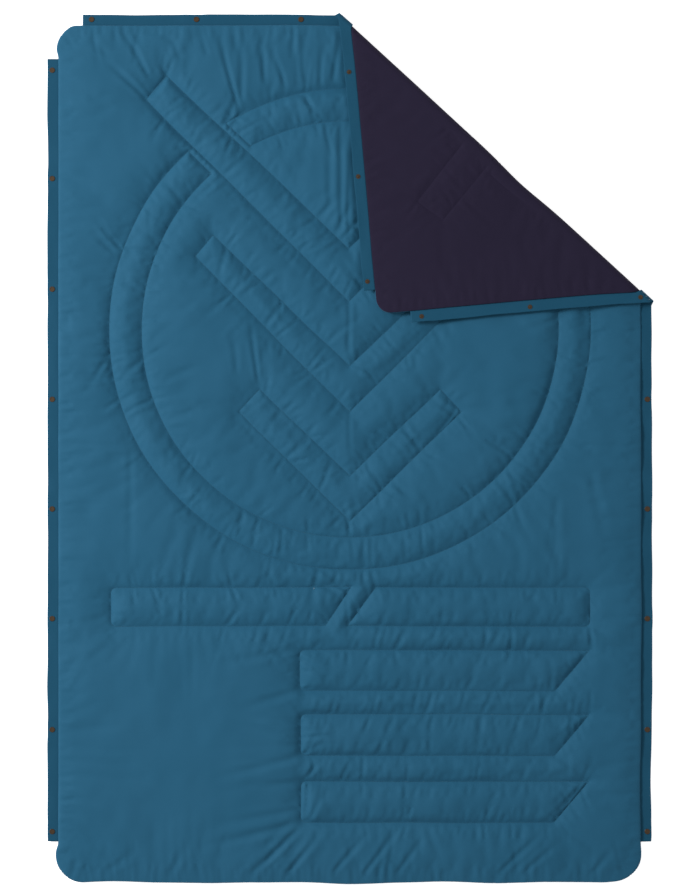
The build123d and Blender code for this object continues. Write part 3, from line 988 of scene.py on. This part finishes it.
flat, faces = panel_layout(5.4 * MM, 9 * MM, (1.3 * MM, 3 * MM, 5.6 * MM, 9 * MM), quilting)
creases = simulated_creases()
wrinkles = all_wrinkles(flat, creases)
face_places = face_surface(flat, wrinkles)
lining_places = lining_surface(flat, wrinkles)


def quilt_piece(name, places, faces, flat, finish, stands_for):
    """A cloth or filling piece of the whole panel, folded over at the corner."""
    places = places + np.column_stack([wobble(places) * free_part(places), np.zeros(len(places))])
    rest, share = folded(places, panel_nose, inner_bend)
    made = make_mesh(name, rest, faces, flat, finish)
    follow_fold(made)
    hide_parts(*stands_for)
    return made


def boundary(faces):
    """The outline of a triangulated layout, as a chain of point numbers in order."""
    edges = np.concatenate([faces[:, [0, 1]], faces[:, [1, 2]], faces[:, [2, 0]]])
    known = set(map(tuple, edges.tolist()))
    following = {a: b for a, b in known if (b, a) not in known}
    first = min(following)
    chain = [first]
    while following[chain[-1]] != first:
        chain.append(following[chain[-1]])
    return np.array(chain)


def walls(chain, below):
    """Triangles from a closed chain of point numbers down to another."""
    after, below_after = np.roll(chain, -1), np.roll(below, -1)
    return np.concatenate([np.stack([after, chain, below], 1), np.stack([after, below, below_after], 1)])


outline = boundary(faces)
hem = face_places[outline].copy()
hem[:, :2] -= edge_distance(flat[outline])[1] * 0.15 * MM
hem[:, 2] = flap_low - seam_clearance
face = quilt_piece(
    "quilt_face",
    np.concatenate([face_places, hem]),
    np.concatenate([faces, walls(outline, len(flat) + np.arange(len(outline)))]),
    np.concatenate([flat, flat[outline]]),
    face_cloth,
    ["face_shell", "corner_face_shell"],
)
lining = quilt_piece(
    "quilt_lining", lining_places, faces[:, ::-1], flat, lining_cloth, ["lining", "corner_lining"]
)

coarse, coarse_faces = panel_layout(14 * MM, 20 * MM, (3 * MM, 9 * MM), quilting)
coarse_wrinkles = all_wrinkles(coarse, creases)
upper, lower = face_surface(coarse, coarse_wrinkles), lining_surface(coarse, coarse_wrinkles)
rim = boundary(coarse_faces)
thickness = np.maximum(upper[:, 2] - lower[:, 2] - 1.2 * MM, 0.1 * MM)
clear_of_bend = 3 * MM * np.exp(-((across_fold(coarse) / (25 * MM)) ** 2))
inner_top = np.column_stack([coarse, lower[:, 2] + 0.35 * MM + 0.36 * thickness + clear_of_bend])
inner_bottom = np.column_stack([coarse, lower[:, 2] + 0.2 * MM + 0.12 * thickness + clear_of_bend])
from_edge, outward = edge_distance(coarse)
drawn = outward * (3 * MM * np.exp(-from_edge / (8 * MM)))[:, None]
inner_top[:, :2] -= drawn
inner_bottom[:, :2] -= drawn
base = len(coarse)
wadding = quilt_piece(
    "wadding",
    np.concatenate([inner_top, inner_bottom]),
    np.concatenate([coarse_faces, coarse_faces[:, ::-1] + base, walls(rim, rim + base)]),
    np.concatenate([coarse, coarse]),
    fill,
    ["insulation", "corner_insulation"],
)

# -------- lines of stitches


def stitches(name, seams, body, stands_for):
    """A row of single stitches on the face along each seam, where it lies on one body."""
    middles, directions = [], []
    for seam in seams:
        line = seam_points(seam, stitch_pitch)
        middles.append((line[1:] + line[:-1]) / 2)
        directions.append((line[1:] - line[:-1]) / np.hypot(*(line[1:] - line[:-1]).T)[:, None])
    middles, directions = np.concatenate(middles), np.concatenate(directions)
    side = across_fold(middles)
    chosen = side > fold_margin if body == "corner" else side < -fold_margin
    middles, directions = middles[chosen], directions[chosen]
    count = len(middles)
    ring_count, around = 4, 5
    along = np.array([-0.42, -0.3, 0.3, 0.42]) * stitch_pitch
    radius = np.array([0.35, 1.0, 1.0, 0.35]) * thread_radius
    sag = np.array([-0.35, 0.1, 0.1, -0.35]) * MM
    angles = np.arange(around) * 2 * pi / around
    shape = np.zeros((ring_count, around, 3))
    shape[:, :, 0] = along[:, None]
    shape[:, :, 1] = radius[:, None] * np.cos(angles)
    shape[:, :, 2] = radius[:, None] * np.sin(angles) + sag[:, None]
    shape = shape.reshape(-1, 3)
    normal = np.stack([-directions[:, 1], directions[:, 0]], 1)
    middles = middles + wobble(middles) * free_part(middles)
    plane = middles[:, None] + shape[None, :, :1] * directions[:, None]
    plane = plane + shape[None, :, 1:2] * normal[:, None]
    height = np.broadcast_to(seam_height + thread_lift + shape[None, :, 2], plane.shape[:2])
    places = np.concatenate([plane, height[:, :, None]], 2).reshape(-1, 3)
    quads = []
    for a in range(0, (ring_count - 1) * around, around):
        for j in range(around):
            k = (j + 1) % around
            quads.append((a + j, a + k, a + around + k, a + around + j))
    ends = np.array([list(range(around))[::-1], [(ring_count - 1) * around + j for j in range(around)]])
    step = np.arange(count)[:, None, None] * len(shape)
    quads = (np.array(quads)[None] + step).reshape(-1, 4)
    ends = (ends[None] + step).reshape(-1, around)
    rest, _ = folded(places, panel_nose, inner_bend)
    made = make_mesh(name, rest, quads.tolist() + ends.tolist(), places, thread)
    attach(made, body)
    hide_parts(*stands_for)


for row, seams, body in (
    ("ring", ring, "blanket"),
    ("chevron", chevron, "blanket"),
    ("bar", bars, "blanket"),
    ("corner_ring", ring, "corner"),
    ("corner_chevron", chevron, "corner"),
):
    stitches(row + "_stitches", seams, body, [row + "_quilting"])

# -------- the flaps

cloth_section = flap_section(0.0, flap_width, flap_low, flap_high)
left_section = flap_section(0.4 * MM, flap_width, flap_low, flap_high)
tape_section = flap_section(6.5 * MM, flap_width - 0.6 * MM, flap_middle - 0.2 * MM, flap_middle + 0.2 * MM)
ends = {
    "left": (left_flap_low[1], left_flap_high[1]),
    "right": (left_flap_low[1], left_flap_high[1]),
    "top": (top_flap_low[0], -top_flap_low[0]),
}
snap_places = {"left": side_snap_rows, "right": side_snap_rows, "top": top_snap_columns}
for number, side in enumerate(("left", "right", "top")):
    nodes = [f"{side}_flap"] + ([] if side == "left" else [f"corner_{side}_flap"])
    made = []
    for suffix, section, finish in (
        ("", left_section if side == "left" else cloth_section, flap_cloth),
        ("_tape", tape_section, tape),
    ):
        piece, share = flap(
            f"{side}_edge_flap{suffix}", side, *ends[side], section, snap_places[side], 90 + number, finish
        )
        if side == "left" and section is left_section:
            bend_at_root(piece)
        elif side == "left":
            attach(piece, "left_flap")
        else:
            follow_fold(piece)
        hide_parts(*(node + suffix for node in nodes))
        made.append(piece)

# -------- the snaps

for node, made in frame["nodes"].items():
    if node.endswith(("snap_caps", "snap_sockets", "snap_studs", "snap_springs")):
        finish = spring_wire if node.endswith("springs") else snap_metal
        made.data.materials.clear()
        made.data.materials.append(finish)
